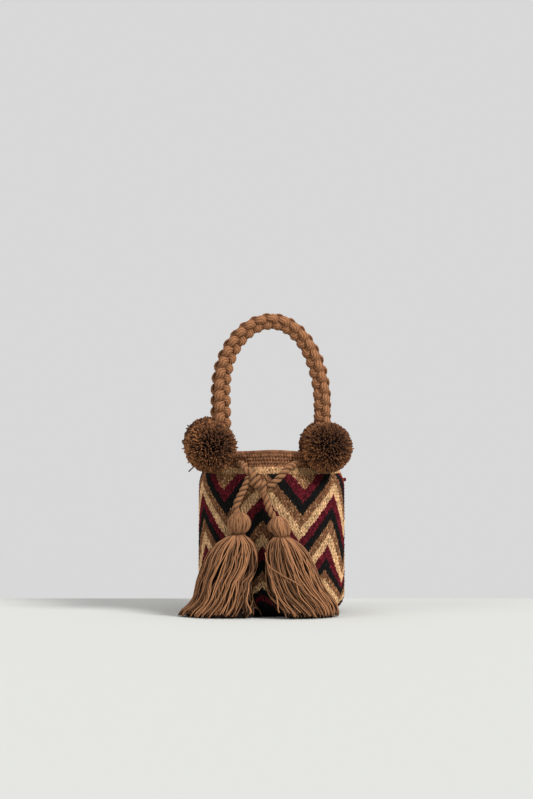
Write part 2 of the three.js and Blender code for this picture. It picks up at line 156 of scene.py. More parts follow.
def tubesAlong(paths, radius, sides, tint, section=None, frames=None):
    # Tubes: at each point of a path stands a ring of corners, radius times section away from it.
    # Quads join the rings, and one face closes each end. paths is threads by points by 3.
    count, rows = paths.shape[:2]
    ahead, side, over = frames or carriedFrame(paths)
    angle = 2 * np.pi * np.arange(sides) / sides
    reach = np.broadcast_to(np.asarray(radius, float), (count, rows))[:, :, None, None]
    wide, thick = (np.cos(angle), np.sin(angle)) if section is None else section
    wide = np.broadcast_to(wide, (count, rows, sides))[..., None]
    thick = np.broadcast_to(thick, (count, rows, sides))[..., None]
    points = paths[:, :, None] + reach * (wide * side[:, :, None] + thick * over[:, :, None])
    number = np.arange(count * rows * sides).reshape(count, rows, sides)
    turned = np.roll(number, -1, axis=2)
    quads = np.stack([number[:, :-1], turned[:, :-1], turned[:, 1:], number[:, 1:]], axis=-1)
    ends = np.concatenate([number[:, 0, ::-1], number[:, -1]])
    along = np.broadcast_to(np.linspace(0, 1, rows)[None, :, None], (count, rows, sides))
    tints = np.broadcast_to(np.asarray(tint, float).reshape(count, -1, 1), (count, rows, sides))
    return {"points": points.reshape(-1, 3), "faces": [quads.reshape(-1, 4), ends],
            "pointValues": {"tint": tints.ravel(), "along": along.ravel()}}


def evenly(path, count):
    # The same line again, with points evenly spaced along it
    steps = np.concatenate([[0], np.cumsum(np.linalg.norm(np.diff(path, axis=0), axis=1))])
    at = np.linspace(0, steps[-1], count)
    return np.stack([np.interp(at, steps, path[:, k]) for k in range(3)], axis=1)


def lengthOf(path):
    return float(np.linalg.norm(np.diff(path, axis=0), axis=1).sum())


def splineThrough(points):
    # Centripetal Catmull-Rom: a smooth line through the points, each span from its four nearest
    points = np.asarray(points, float)
    ends = np.vstack([2 * points[0] - points[1], points, 2 * points[-1] - points[-2]])
    share = np.linspace(0, 1, spanPoints, endpoint=False)[:, None]
    spans = []
    for a, b, c, d in zip(ends[:-3], ends[1:-2], ends[2:-1], ends[3:]):
        t1 = math.sqrt(np.linalg.norm(b - a))
        t2 = t1 + math.sqrt(np.linalg.norm(c - b))
        t3 = t2 + math.sqrt(np.linalg.norm(d - c))
        t = t1 + (t2 - t1) * share
        ab = a + (b - a) * t / t1
        bc = b + (c - b) * (t - t1) / (t2 - t1)
        cd = c + (d - c) * (t - t2) / (t3 - t2)
        abc = ab + (bc - ab) * t / t2
        bcd = bc + (cd - bc) * (t - t1) / (t3 - t1)
        spans.append(abc + (bcd - abc) * (t - t1) / (t2 - t1))
    return np.vstack([*spans, points[-1:]])


# Camera, at the place and with the lens that the photograph's view gives
cameraSettings = {"place": (-6, -3950, 319), "target": (-6, 0, 255), "lens": 148.3, "longSide": 36.0}
cameraData = bpy.data.cameras.new("camera")
cameraData.sensor_fit = "VERTICAL"
cameraData.sensor_height = cameraSettings["longSide"]
cameraData.lens = cameraSettings["lens"]
cameraData.clip_end = 50
cameraObject = bpy.data.objects.new("camera", cameraData)
cameraObject.location = Vector(cameraSettings["place"]) / 1000
lookDirection = Vector(cameraSettings["target"]) - Vector(cameraSettings["place"])
cameraObject.rotation_euler = lookDirection.to_track_quat("-Z", "Y").to_euler()
bpy.context.scene.collection.objects.link(cameraObject)
bpy.context.scene.camera = cameraObject
print("camera placed")


yarnFinish = {"fibre": 0.45, "bump": 0.5, "roughness": 0.88, "specular": 0.25, "sheen": 0.05}
crochetFinish = {"fibre": 1.3, "bump": 0.4, "roughness": 0.9, "specular": 0.1}


# Twisted cotton yarn, dyed brown: matt, with a faint sheen from its fibres. The fibres' size is in
# millimetres, coarser than real fibres so that it shows.
def yarnMaterial(name, dark, light, root=None):
    s = yarnFinish
    material, tree = newMaterial(name)
    place = addNode(tree, "ShaderNodeTexCoord")
    tint = addNode(tree, "ShaderNodeAttribute", {"attribute_name": "tint"})
    fibre = addNode(tree, "ShaderNodeTexNoise", None, {
        "Vector": place.outputs["Object"], "Scale": 1000 / s["fibre"], "Detail": 3.0, "Roughness": 0.6})
    # The tint mixes the dark and the light colour: each yarn's own tone and, on most pieces, painted shade
    mixed = addNode(tree, "ShaderNodeMix", {"data_type": "RGBA"}, {
        "Factor": tint.outputs["Fac"], "A": shade(dark), "B": shade(light)})
    colour = mixed.outputs["Result"]
    # Painted shade: towards its root, deep in the ball, a yarn darkens to the root colour
    if root:
        along = addNode(tree, "ShaderNodeAttribute", {"attribute_name": "along"})
        nearTip = addNode(tree, "ShaderNodeMapRange", {"interpolation_type": "SMOOTHSTEP"}, {
            "Value": along.outputs["Fac"], "From Min": root["start"], "From Max": root["end"]})
        tipped = addNode(tree, "ShaderNodeMix", {"data_type": "RGBA"}, {
            "Factor": nearTip.outputs["Result"], "A": shade(root["colour"]), "B": colour})
        colour = tipped.outputs["Result"]
    uneven = addNode(tree, "ShaderNodeMapRange", None, {
        "Value": fibre.outputs["Fac"], "From Min": 0.3, "From Max": 0.7, "To Min": 0.72, "To Max": 1.28})
    final = addNode(tree, "ShaderNodeVectorMath", {"operation": "SCALE"}, {
        0: colour, "Scale": uneven.outputs["Result"]})
    relief = addNode(tree, "ShaderNodeBump", None, {
        "Strength": s["bump"], "Distance": 0.0003, "Height": fibre.outputs["Fac"]})
    surface = addNode(tree, "ShaderNodeBsdfPrincipled", None, {
        "Base Color": final.outputs["Vector"], "Roughness": s["roughness"],
        "Specular IOR Level": s["specular"], "Sheen Weight": s["sheen"], "Sheen Roughness": 0.5,
        "Sheen Tint": shade(light), "Normal": relief.outputs["Normal"]})
    addNode(tree, "ShaderNodeOutputMaterial", None, {"Surface": surface.outputs["BSDF"]})
    return material


# Tapestry crochet of cotton yarn: each stitch keeps its own dye, and the gaps between stitches are
# darkened as painted shade. Its unevenness has the yarn's own thickness, 1.3 mm.
def crochetMaterial(name):
    s = crochetFinish
    material, tree = newMaterial(name)
    place = addNode(tree, "ShaderNodeTexCoord")
    yarn = addNode(tree, "ShaderNodeAttribute", {"attribute_name": "yarnColour"})
    relief = addNode(tree, "ShaderNodeAttribute", {"attribute_name": "relief"})
    fibre = addNode(tree, "ShaderNodeTexNoise", None, {
        "Vector": place.outputs["Object"], "Scale": 1000 / s["fibre"], "Detail": 4.0, "Roughness": 0.7})
    # Painted shade: the low points of the relief are darkened, and the crests drawn a little lighter
    paintedGapShade = addNode(tree, "ShaderNodeMapRange", {"interpolation_type": "SMOOTHSTEP"}, {
        "Value": relief.outputs["Fac"], "From Min": 0.0, "From Max": 0.9,
        "To Min": 0.16, "To Max": 1.08})
    uneven = addNode(tree, "ShaderNodeMapRange", None, {
        "Value": fibre.outputs["Fac"], "From Min": 0.3, "From Max": 0.7, "To Min": 0.62, "To Max": 1.36})
    factor = addNode(tree, "ShaderNodeMath", {"operation": "MULTIPLY"}, {
        0: paintedGapShade.outputs["Result"], 1: uneven.outputs["Result"]})
    final = addNode(tree, "ShaderNodeVectorMath", {"operation": "SCALE"}, {
        0: yarn.outputs["Color"], "Scale": factor.outputs["Value"]})
    bump = addNode(tree, "ShaderNodeBump", None, {
        "Strength": s["bump"], "Distance": 0.0004, "Height": fibre.outputs["Fac"]})
    surface = addNode(tree, "ShaderNodeBsdfPrincipled", None, {
        "Base Color": final.outputs["Vector"], "Roughness": s["roughness"],
        "Specular IOR Level": s["specular"], "Normal": bump.outputs["Normal"]})
    addNode(tree, "ShaderNodeOutputMaterial", None, {"Surface": surface.outputs["BSDF"]})
    return material


crochetSettings = {
    "stitches": 140, "rounds": 52, "innerRounds": 42, "baseRounds": 14, "hub": 4.0, "seed": 11,
    # How proud each point of a stitch stands, for the three levels of a round from the bottom up:
    # the groove beside the stitch, a leg, the groove in its middle, the other leg
    "legs": ((0.1, 0.72, 0.2, 0.7), (0.05, 1.0, 0.1, 0.95), (0.1, 0.95, 0.05, 1.0)),
    "relief": 1.3, "crest": 0.35, "slant": 0.1, "spread": 0.12, "chevron": 0.8, "fadeRows": 6,
    "rimGap": 0.3, "turnNoise": 0.05, "riseNoise": 0.16, "stitchNoise": 0.12, "pointNoise": 0.1,
    "legTone": 0.14, "innerRipple": 0.35, "baseRipple": 0.45, "hiddenShade": 0.8,
}
zigzagSettings = {
    "count": 6, "rise": 55.0, "band": 15.0, "firstEdge": 162.0, "edgeNoise": 0.35,
    "peak": -7.0, "peakSpread": 0.0026, "evenHeight": 111.0,
    "squeeze": 0.017, "squeezeFrom": 60.0, "lastBlack": 11,
    "bands": ("black", "brown", "tan", "burgundy"),
}
yarnColours = {
    "brown": "#8a5d3f", "heather": "#9e6d49", "rim": "#a57150", "tan": "#ecbd8b",
    "burgundy": "#671b25", "black": "#181716", "fleck": "#dcb080", "stripe": "#d8a777",
}
# How far a stitch's brightness strays from its yarn's, and the share of pale flecks
yarnSpread = {"brown": 0.22, "heather": 0.3, "tan": 0.12, "burgundy": 0.65, "black": 0.35, "rim": 0.3,
              "stripe": 0.3}
yarnFlecks = {"brown": 0.08, "heather": 0.24}


def bagOutline(count):
    # The outside from the foot of the base edge to the top of the rim, evenly spaced:
    # a quarter circle, an upright wall, a shoulder that falls away by a power, and the rim band
    s = bagShape
    angle = np.linspace(0, np.pi / 2, 40)
    edge = s["baseEdge"]
    out = bagRadius - edge + edge * np.sin(angle)
    arc = np.stack([out, 0 * angle, edge - edge * np.cos(angle)], axis=1)
    height = np.linspace(edge, bagHeight, finePoints)[1:]
    shoulder = np.clip((height - (rimBottom - s["shoulder"])) / s["shoulder"], 0, 1)
    wall = bagRadius - s["drawIn"] * shoulder ** s["shoulderPower"]
    rimShare = np.clip((height - rimBottom) / (s["rimBand"] / 2), 0, 1)
    rim = wall + (s["rimRadius"] - wall) * (0.5 + 0.5 * rimShare)
    wall = np.where(height > rimBottom, rim, wall)
    return evenly(np.vstack([arc, np.stack([wall, 0 * height, height], axis=1)]), count)


def outsideAt(height):
    line = bagOutline(finePoints)
    return np.interp(height, line[:, 2], line[:, 0])


def zigzagYarn(bearing, height, draw):
    # Which yarn a stitch is worked in: zigzag bands, a pale stripe above them and the rim band. The
    # zigzag follows the bearing from its middle peak, plus a part of that bearing's sine. Near the
    # base the bands narrow, by a square, and the last three are black, burgundy and black.
    s = zigzagSettings
    past = bearing - s["peak"]
    past = past + np.degrees(s["peakSpread"] * (s["evenHeight"] - height) * np.sin(np.radians(past)))
    phase = np.mod(past, 360 / s["count"]) * s["count"] / 360
    noise = draw.normal(0, s["edgeNoise"], phase.shape)
    edge = s["firstEdge"] + s["rise"] * (np.abs(2 * phase - 1) - 0.5) + noise
    worked = height - s["squeeze"] * np.maximum(s["squeezeFrom"] - height, 0) ** 2
    order = ((edge - worked) // s["band"]).astype(int)
    names = np.array(s["bands"])[order % len(s["bands"])]
    names = np.where(order >= s["lastBlack"], "black", names)
    names = np.where(order == s["lastBlack"] + 1, "burgundy", names)
    names = np.where(order < -1, "heather", names)
    names = np.where(height > stripeBottom, "stripe", names)
    names = np.where(height > rimBottom, "rim", names)
    colours = np.zeros((*names.shape, 3))
    for name, amount in yarnSpread.items():
        chosen = names == name
        tone = 1 + amount * draw.uniform(-1, 1, (int(chosen.sum()), 1))
        colours[chosen] = linear(yarnColours[name]) * tone
        light = chosen & (draw.random(names.shape) < yarnFlecks.get(name, 0))
        tone = draw.uniform(0.7, 1.1, (int(light.sum()), 1))
        colours[light] = linear(yarnColours["fleck"]) * tone
    return colours


def outOfRound(radians):
    # The wall isn't quite round: sines of the bearing
    return sum(size * np.sin(waves * radians + start) for size, waves, start in bagShape["outOfRound"])


def rimSag(radians, lift):
    # The pompoms pull the rim down at its sides, more at the right, by a bell curve of the sine, and
    # it waves a little. lift is the share of the bag's height, whose power keeps this near the rim.
    s = bagShape["sag"]
    pull = (s["pull"] + s["lean"] * np.sin(radians)) * (1 - np.exp(-(np.sin(radians) / s["width"]) ** 2))
    return (pull - s["wave"] * np.sin(3 * radians + 1.0)) * lift ** s["power"]


def makeCrochetedBody():
    # A grid of stitches wrapped round the outline. Each stitch is a V: its two legs stand proud, with a
    # groove between them and another beside them. They spread on their way up, and a point moves up
    # the wall by its distance from the middle of its stitch.
    s, wall, peak = crochetSettings, bagShape["wall"], zigzagSettings["peak"]
    draw = np.random.default_rng(s["seed"])
    stitches, rounds = s["stitches"], s["rounds"]
    columns, rows = 4 * stitches, 3 * rounds + 1
    outline = bagOutline(rows)
    slope = unit(np.gradient(outline, axis=0))
    normal = np.stack([slope[:, 2], -slope[:, 0]], axis=1)
    level = np.arange(rows) % 3
    roundOf = np.arange(rows) // 3
    column = np.arange(columns)
    shifted = column[None] - (3 * roundOf[:, None]) % 4  # each round stands a quarter stitch further on
    part, stitchOf = shifted % 4, (shifted // 4) % stitches
    proud = np.array(s["legs"])[level[:, None], part]
    inRim = (outline[:, 2] > rimBottom)[:, None]
    proud = np.where(inRim & (level[:, None] == 0), s["rimGap"] * proud, proud)
    spread = s["spread"] * (part - 2) * (part != 0) * (level[:, None] - 0.8)
    fromEnd = np.minimum(np.arange(rows), rows - 1 - np.arange(rows))
    edgeFade = np.clip(fromEnd / s["fadeRows"], 0, 1)[:, None]
    chevron = s["chevron"] * (np.abs(part / 4 - 0.5) - 0.25) * bagHeight / rounds * edgeFade
    turn = column / 4 + spread + s["slant"] * (level[:, None] / 3 - 0.33)
    turn = (turn + s["turnNoise"] * draw.normal(size=part.shape)).reshape(rows, stitches, 4)
    chevron = chevron + s["riseNoise"] * draw.normal(size=chevron.shape) * edgeFade
    chevron = chevron.reshape(rows, stitches, 4)
    stitchSize = 1 + s["stitchNoise"] * draw.normal(size=(rows // 3 + 1, stitches))
    relief = proud * stitchSize[roundOf[:, None], stitchOf]
    relief = (relief + s["pointNoise"] * draw.normal(size=part.shape)).reshape(rows, stitches, 4)
    bearing = peak + 360 * turn / stitches
    push = s["crest"] - s["relief"] * (1 - relief)
    radians = np.radians(bearing)
    lift = np.clip(outline[:, 2] / bagHeight, 0, 1)[:, None, None]
    distance = outline[:, 0][:, None, None] + push * normal[:, 0][:, None, None]
    distance = distance + outOfRound(radians) * lift + chevron * slope[:, 0][:, None, None]
    tall = outline[:, 2][:, None, None] + push * normal[:, 1][:, None, None]
    tall = tall + chevron * slope[:, 2][:, None, None]
    tall = np.maximum(tall - rimSag(radians, lift), 0.0)
    outer = around(bearing, distance, tall).reshape(rows, columns, 3)
    outerNumber = np.arange(rows * columns).reshape(rows, columns)
    ahead = np.roll(outerNumber, -1, axis=1)
    quads = np.stack([outerNumber[:-1], ahead[:-1], ahead[1:], outerNumber[1:]], axis=-1)

    # Inside: one column for each stitch, from the rim down and across the floor, the wall's
    # thickness away from the outline
    innerOutline = bagOutline(s["innerRounds"])[::-1].copy()
    innerSlope = unit(np.gradient(innerOutline, axis=0))
    innerOutline[:, 0] += wall * innerSlope[:, 2]
    innerOutline[:, 2] -= wall * innerSlope[:, 0]
    innerOutline[0] = [bagShape["rimRadius"] - 0.7 * wall, 0, bagHeight + 0.2]
    baseReach = bagRadius - bagShape["baseEdge"]
    floorRings = np.linspace(baseReach, s["hub"], s["baseRounds"])[1:]
    floor = np.stack([floorRings, 0 * floorRings, 0 * floorRings + wall], axis=1)
    inside = np.vstack([innerOutline, floor])
    centreBearing = peak + 360 * np.arange(stitches) / stitches
    centre = np.radians(centreBearing)[None]
    ripple = s["innerRipple"] * np.where(np.arange(len(inside)) % 2 == 0, 1, -1)
    lift = np.clip(inside[:, 2] / bagHeight, 0, 1)[:, None]
    inner = around(centreBearing[None], inside[:, :1] + outOfRound(centre) * lift + ripple[:, None],
                   inside[:, 2:] - rimSag(centre, lift))
    innerNumber = outerNumber.size + np.arange(inner[..., 0].size).reshape(len(inside), stitches)
    innerAhead = np.roll(innerNumber, -1, axis=1)
    innerQuads = np.stack([innerNumber[:-1], innerAhead[:-1], innerAhead[1:], innerNumber[1:]], axis=-1)
    top = outerNumber[-1].reshape(stitches, 4)
    rimFaces = np.concatenate([top, ahead[-1].reshape(stitches, 4)[:, 3:],
                               innerAhead[0][:, None], innerNumber[0][:, None]], axis=1)

    # Underside: rounds of one column for each stitch, closed at the middle
    baseRounds = s["baseRounds"]
    baseRings = np.linspace(baseReach - 3, s["hub"], baseRounds)
    baseHeight = np.where(np.arange(baseRounds) % 2 == 0, 0.0, s["baseRipple"])
    base = around(centreBearing[None], baseRings[:, None], baseHeight[:, None])
    baseNumber = innerNumber.max() + 1 + np.arange(baseRounds * stitches).reshape(baseRounds, stitches)
    baseAhead = np.roll(baseNumber, -1, axis=1)
    baseQuads = np.stack([baseNumber[:-1], baseNumber[1:], baseAhead[1:], baseAhead[:-1]], axis=-1)
    bottom = outerNumber[0].reshape(stitches, 4)
    baseFaces = np.concatenate([bottom[:, ::-1], baseNumber[0][:, None], baseAhead[0][:, None],
                                ahead[0].reshape(stitches, 4)[:, 3:]], axis=1)
    points = np.concatenate([outer.reshape(-1, 3), inner.reshape(-1, 3), base.reshape(-1, 3),
                             [[0, 0, wall], [0, 0, 0.3]]])
    floorHub, baseHub = len(points) - 2, len(points) - 1
    hubs = np.concatenate([
        np.stack([innerNumber[-1], innerAhead[-1], np.full(stitches, floorHub)], axis=1),
        np.stack([baseAhead[-1], baseNumber[-1], np.full(stitches, baseHub)], axis=1)])

    # Colours: the bands' edges pass through the stitches, and each leg has its own brightness
    quadHeight = np.broadcast_to(((outline[:-1, 2] + outline[1:, 2]) / 2)[:, None], (rows - 1, columns))
    quadBearing = peak + 360 * (column[None] + 0.5 + s["slant"] * level[:-1, None]) / columns
    quadColours = zigzagYarn(np.broadcast_to(quadBearing, quadHeight.shape), quadHeight, draw)
    legOf = ((column[None] - (3 * roundOf[:-1, None]) % 4) // 2) % (2 * stitches)
    legTone = np.clip(1 + s["legTone"] * draw.normal(size=(rounds, 2 * stitches)), 0.55, 1.45)
    quadColours = quadColours * legTone[roundOf[:-1, None], legOf][..., None]
    # Painted shade: the inside and the underside are drawn darker than the outside, by the hidden share
    insideHeight = inner[:-1, :, 2]
    insideBearing = np.broadcast_to(centreBearing[None], insideHeight.shape)
    insideColours = zigzagYarn(insideBearing, insideHeight, draw) * s["hiddenShade"]
    brown = linear(yarnColours["brown"])
    faceColours = [
        (quadColours.reshape(-1, 3), 4), (insideColours.reshape(-1, 3), 4),
        (np.tile(brown * s["hiddenShade"], ((baseRounds - 1) * stitches, 1)), 4),
        (np.tile(linear(yarnColours["rim"]), (stitches, 1)), 7),
        (np.tile(brown, (stitches, 1)), 7),
        (np.tile(brown, (2 * stitches, 1)), 3)]
    cornerColours = np.concatenate([np.repeat(colour, corners, axis=0) for colour, corners in faceColours])
    cornerColours = np.hstack([cornerColours, np.ones((len(cornerColours), 1))])
    # The relief also sets the material's painted shade: inside it alternates by round, on the underside it
    # is even
    innerRelief = np.broadcast_to((0.55 + 0.3 * np.sign(ripple))[:, None], inner.shape[:2])
    baseRelief = np.full(baseRounds * stitches + 2, 0.6)
    reliefs = np.concatenate([relief.ravel(), innerRelief.ravel(), baseRelief])
    return {
        "points": points,
        "faces": [quads.reshape(-1, 4), innerQuads.reshape(-1, 4), baseQuads.reshape(-1, 4),
                  rimFaces, baseFaces, hubs],
        "pointValues": {"relief": reliefs},
        "cornerColours": cornerColours,
    }


handleSettings = {
    "armReach": 61.0, "armBottom": 152.5, "top": 348.8, "leftSpring": 265.0, "rightSpring": 248.0,
    "turn": 26.8, "pause": 0.93, "middle": 6.6, "swing": 1.6, "halfWidth": 6.0, "halfThickness": 4.2,
    "sides": 28, "yarns": 9, "rows": 560, "core": 6.0, "colours": ("#43250f", "#b37b54"),
    "twistAt": (0, 0.14, 0.3, 0.5, 0.7, 0.85, 1), "twist": (1.5, 1.5, 1.3, 1.0, 1.2, 0.85, 0.75),
    "steepness": 1.4, "ridge": 0.1, "yarnTurn": 0.35, "thinning": 0.09, "waist": 0.1, "waistReach": 0.2,
}


def handleLine(count):
    # Two upright arms joined by two quarter ellipses, in the plane y = 0
    s = handleSettings
    reach, bottom = s["armReach"], s["armBottom"]
    angle = np.linspace(np.pi, np.pi / 2, 80)
    left = np.stack([reach * np.cos(angle), 0 * angle,
                     s["leftSpring"] + (s["top"] - s["leftSpring"]) * np.sin(angle)], axis=1)
    angle = angle - np.pi / 2
    right = np.stack([reach * np.cos(angle), 0 * angle,
                      s["rightSpring"] + (s["top"] - s["rightSpring"]) * np.sin(angle)], axis=1)
    return evenly(np.vstack([[[-reach, 0, bottom]], left, right[1:], [[reach, 0, bottom]]]), count)


def makeHandleStrands():
    # Each strand winds round the handle's line, two one way and two the other. It swings out and slows
    # as it passes over, swings in and hurries as it passes under, and swells where it lies on top.
    # Its section is an oval with ridges for its yarns, which turn slowly about the strand.
    s = handleSettings
    line = handleLine(s["rows"])
    ahead = unit(np.gradient(line, axis=0))
    outward = np.stack([-ahead[:, 2], 0 * ahead[:, 0], ahead[:, 0]], axis=1)
    towards = np.array([0.0, -1.0, 0.0])
    distance = np.linspace(0, lengthOf(line), s["rows"])
    turn = 2 * np.pi * distance / s["turn"]
    share = distance / distance[-1]
    waist = 1 - s["waist"] * np.exp(-((share - 0.5) / s["waistReach"]) ** 2)
    size = (1.04 - s["thinning"] * share) * waist  # thinner at the right-hand end and at the top
    twist = np.interp(share, s["twistAt"], s["twist"])  # the braid turns a little over its length
    facing = 2 * np.pi * np.arange(s["sides"]) / s["sides"]
    wave = np.cos(s["yarns"] * facing[None] + s["yarnTurn"] * distance[:, None])
    ridge = 1 + s["ridge"] * wave
    shapes = []
    for way in (1, -1):
        for start in (0, np.pi):
            lift = np.tanh(s["steepness"] * way * np.cos(2 * turn)) / np.tanh(s["steepness"])
            angle = start + np.cumsum(way - s["pause"] * way * lift) * (turn[1] - turn[0]) + twist
            out = np.cos(angle)[:, None] * outward + np.sin(angle)[:, None] * towards
            path = line + ((s["middle"] + s["swing"] * lift) * size)[:, None] * out
            along = unit(np.gradient(path, axis=0))
            side = unit(np.cross(out, along))
            over = np.cross(along, side)
            width = s["halfWidth"] * (0.88 + 0.12 * lift) * size
            thickness = s["halfThickness"] * (0.9 + 0.1 * lift) * size
            wide = np.cos(facing) * ridge * width[:, None]
            thick = np.sin(facing) * ridge * thickness[:, None]
            shape = tubesAlong(path[None], 1.0, s["sides"], 0.5, (wide[None], thick[None]),
                               (along[None], side[None], over[None]))
            # Painted shade: darker between the yarns, on the strand's inner side and where it passes under
            tint = (0.63 + 0.42 * wave) * np.clip(0.2 + 1.2 * np.sin(facing), 0.05, 1)
            tint = tint * np.clip(0.8 + 0.25 * lift, 0, 1)[:, None]
            shape["pointValues"]["tint"] = tint.ravel()
            shapes.append(shape)
    # A core down the middle in the dark colour: painted shade in the gaps between the strands
    core = tubesAlong(line[None], s["core"] * size[None], 12, 0.0)
    shapes[0] = joined([shapes[0], core])
    return shapes


pompomSettings = {
    "press": 9.5, "yarns": 2500, "yarnRadius": 0.76, "core": 0.66, "coreOut": 2.5, "root": 0.5,
    "seed": 21, "turned": 0.05, "shorter": 0.05, "longer": 0.06, "longShare": 0.04, "bend": 2.1,
    "fromWall": 0.6, "shortest": 0.12, "cutEndShade": (1, 1, 1, 0.65), "tintShape": (0.9, 1.45), "paler": 1.65,
    # Bearing, height of the middle over the rim, radius
    "balls": {"front_left": (-47.3, 7.5, 31.5), "front_right": (42.7, 7.0, 30.5),
              "back_left": (-128.1, 10.0, 31.0), "back_right": (139.3, 6.1, 30.0)},
    # Where each ball's painted shade faces: its yarns that point there are drawn darker
    "shadedFacing": {"front_left": (0.45, -0.85, 0.25), "front_right": (0.3, -0.85, 0.4),
            "back_left": (-0.6, 0.75, 0.25), "back_right": (0.6, 0.75, 0.25)},
    # How bright each ball's yarns are drawn, as painted shade: the right ball and the back balls are darker
    "shade": {"front_left": 1.0, "front_right": 0.8, "back_left": 0.6, "back_right": 0.6},
    "colours": ("#2d150a", "#c08050"), "rootShade": {"colour": "#060201", "start": 0.3, "end": 0.95},
    "strays": [((-0.58, -0.15, -0.8), 39), ((-1, -0.1, -0.05), 34), ((0.5, -0.4, -0.75), 33.5)],
}


def ballShape(middle, radius, tint, rings=18, columns=28):
    # A closed ball as a grid of rings from pole to pole
    fall = np.pi * (np.arange(1, rings) / rings)[:, None]
    turn = 2 * np.pi * np.arange(columns) / columns
    parts = np.broadcast_arrays(np.sin(fall) * np.cos(turn), np.sin(fall) * np.sin(turn), np.cos(fall))
    points = np.vstack([np.stack(parts, axis=-1).reshape(-1, 3), [[0, 0, 1], [0, 0, -1]]]) * radius + middle
    number = np.arange((rings - 1) * columns).reshape(rings - 1, columns)
    ahead = np.roll(number, -1, axis=1)
    quads = np.stack([number[:-1], number[1:], ahead[1:], ahead[:-1]], axis=-1).reshape(-1, 4)
    north, south = len(points) - 2, len(points) - 1
    caps = np.concatenate([np.stack([number[0], ahead[0], np.full(columns, north)], axis=1),
                           np.stack([ahead[-1], number[-1], np.full(columns, south)], axis=1)])
    values = {"tint": np.full(len(points), tint), "along": np.zeros(len(points))}
    return {"points": points, "faces": [quads, caps], "pointValues": values}


def insideBag(points, spare):
    # Whether each point lies in the bag's outer form, grown by spare
    distance = np.hypot(points[..., 0], points[..., 1])
    height = points[..., 2]
    return (distance < outsideAt(np.clip(height, 0, bagHeight)) + spare) & (height < bagHeight + spare)


def makePompom(side):
    # Cut yarns stand out all round from a core, spread evenly over the ball by the golden angle,
    # each a little bent, and shortened where the bag's wall is in its way. Their cut ends are
    # darker, as painted shade.
    s = pompomSettings
    bearing, rise, radius = s["balls"][side]
    draw = np.random.default_rng(s["seed"] + list(s["balls"]).index(side))
    distance = bagShape["rimRadius"] + radius - s["press"]
    middle = around(bearing, distance, bagHeight + rise)
    count = s["yarns"]
    step = np.arange(count) + 0.5
    tall = 1 - 2 * step / count
    turn = np.pi * (1 + 5 ** 0.5) * step
    flat = np.sqrt(1 - tall ** 2)
    direction = np.stack([flat * np.cos(turn), flat * np.sin(turn), tall], axis=1)
    direction = unit(direction + s["turned"] * draw.normal(size=(count, 3)))
    bend = unit(np.cross(direction, draw.normal(size=(count, 3))))
    shorter = np.abs(draw.normal(0, s["shorter"], count))
    longer = s["longer"] * (draw.random(count) < s["longShare"])
    reach = radius * (1 - shorter + longer)
    if side == "front_left":
        for aim, length in s["strays"]:
            reach[(direction @ unit(np.array(aim))).argmax()] = length
    trial = np.linspace(s["root"], 1, 24)
    rays = middle + direction[:, None] * (reach[:, None] * trial)[..., None]
    blocked = insideBag(rays, s["fromWall"])
    free = np.where(blocked.any(1), trial[np.maximum(blocked.argmax(1) - 1, 0)], 1.0)
    share = np.linspace(0, 1, 4)
    at = s["root"] + (free[:, None] - s["root"]) * share
    curve = (draw.uniform(0, s["bend"], count) * free)[:, None] * share ** 2
    paths = middle + direction[:, None] * (reach[:, None] * at)[..., None]
    paths = paths + bend[:, None] * curve[..., None]
    keep = free > s["root"] + s["shortest"]
    thin = s["yarnRadius"] * (0.75 + 0.3 * share) * draw.uniform(0.85, 1.15, count)[keep][:, None]
    # Painted shade: yarns that point towards the shaded side are darker
    sideShade = 0.2 + 0.85 * (1 - direction @ unit(np.array(s["shadedFacing"][side])))
    tint = np.clip(s["shade"][side] * sideShade * draw.beta(*s["tintShape"], count) * s["paler"], 0, 1)
    yarns = tubesAlong(paths[keep], thin, 4, tint[keep][:, None] * np.array(s["cutEndShade"]))
    # The core ball takes the near-black root colour: painted shade deep in the ball
    coreMiddle = around(bearing, distance + s["coreOut"], bagHeight + rise)
    return joined([yarns, ballShape(coreMiddle, s["core"] * radius, 0.05)])


cordSettings = {
    "radius": 3.6, "plies": 2, "plyRadius": 2.45, "plyOffset": 1.8, "pitch": 15.0, "sides": 12,
    "step": 1.1, "yarns": 4, "ridge": 0.09, "yarnTurn": 1.6, "colours": ("#2e190d", "#a2724d"),
    "eyelets": 8, "eyeletDepth": 12.5, "eyeletTurn": -2.75, "frontHalf": 27.25, "weave": 4.2,
    "knotRadius": 4.2, "knotStart": (-24.6, -93.5, 166.1), "knotEnd": (-7.0, -93.5, 149.9),
    "knotTurns": 1.5,
}
